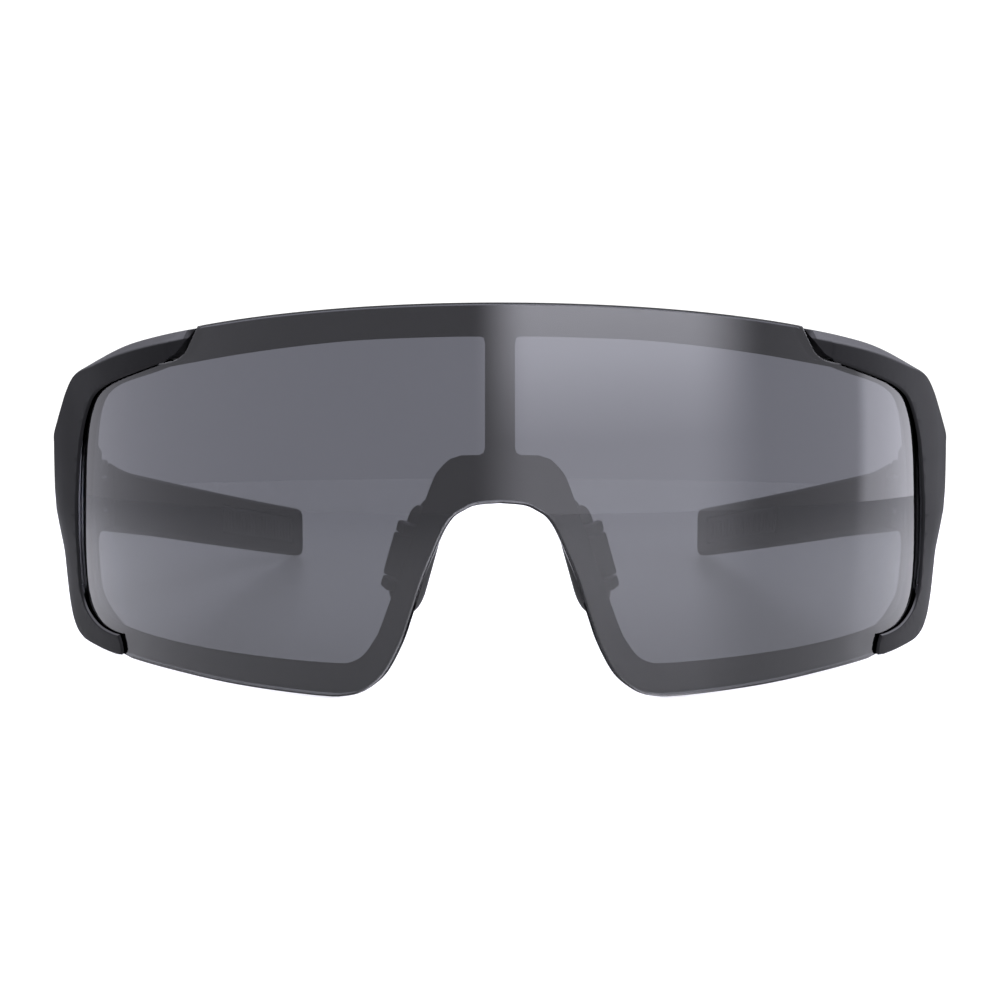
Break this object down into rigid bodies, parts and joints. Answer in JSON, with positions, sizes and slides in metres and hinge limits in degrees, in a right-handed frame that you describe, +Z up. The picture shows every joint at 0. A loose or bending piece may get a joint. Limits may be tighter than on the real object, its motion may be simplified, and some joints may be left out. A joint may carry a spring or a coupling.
{
  "type": "shield sunglasses",
  "caption": "Wraparound shield sunglasses: toric smoke lens with printed border, side brackets that grip it, folding straight temples and a soft nose piece.",
  "frame": {"origin": "on the surface that the open glasses stand on, under the middle of their box", "axes": "+Z up, -Y the way the wearer looks, +X the wearer's left"},
  "size_m": [0.1482, 0.16, 0.0549],
  "materials": {
    "lens": "polished smoke-tinted lens, glossy and see-through",
    "print": "black border printed on the lens's rear face",
    "frame": "satin black injection-moulded nylon",
    "clip": "matt black moulded clip",
    "rubber": "soft black non-slip elastomer",
    "gasket": "black soft strip",
    "steel": "stainless steel",
    "brass": "plain bush"
  },
  "bodies": {
    "front": {"lens_shield": "lens", "lens_border": "print", "bracket_left": "frame", "bracket_right": "frame", "lens_gasket_left": "gasket", "lens_gasket_right": "gasket", "nose_bridge": "clip", "nose_pin_left": "steel", "nose_pin_right": "steel", "hinge_screw_left": "steel", "hinge_screw_right": "steel", "hinge_washer_upper_left": "steel", "hinge_washer_upper_right": "steel", "hinge_washer_lower_left": "steel", "hinge_washer_lower_right": "steel"},
    "temple_left": {"temple_left": "frame", "temple_grip_left": "rubber", "hinge_bush_left": "brass"},
    "temple_right": {"temple_right": "frame", "temple_grip_right": "rubber", "hinge_bush_right": "brass"},
    "nose_pad_left": {"nose_pad_left": "rubber", "nose_pad_core_left": "clip"},
    "nose_pad_right": {"nose_pad_right": "rubber", "nose_pad_core_right": "clip"}
  },
  "joints": [
    {"name": "temple_left_fold", "type": "hinge", "parent": "front", "child": "temple_left", "pos_m": [0.0692, -0.024, 0.0241], "axis": [0, 0, 1], "range_deg": [0, 84]},
    {"name": "temple_right_fold", "type": "hinge", "parent": "front", "child": "temple_right", "pos_m": [-0.0692, -0.024, 0.0241], "axis": [0, 0, -1], "range_deg": [0, 77]},
    {"name": "nose_pad_left_turn", "type": "hinge", "parent": "front", "child": "nose_pad_left", "pos_m": [0.01409, -0.07256, 0.02], "axis": [-0.27, 0, 0.9629], "range_deg": [-5, 5]},
    {"name": "nose_pad_right_turn", "type": "hinge", "parent": "front", "child": "nose_pad_right", "pos_m": [-0.01409, -0.07256, 0.02], "axis": [-0.27, 0, -0.9629], "range_deg": [-5, 5]}
  ]
}
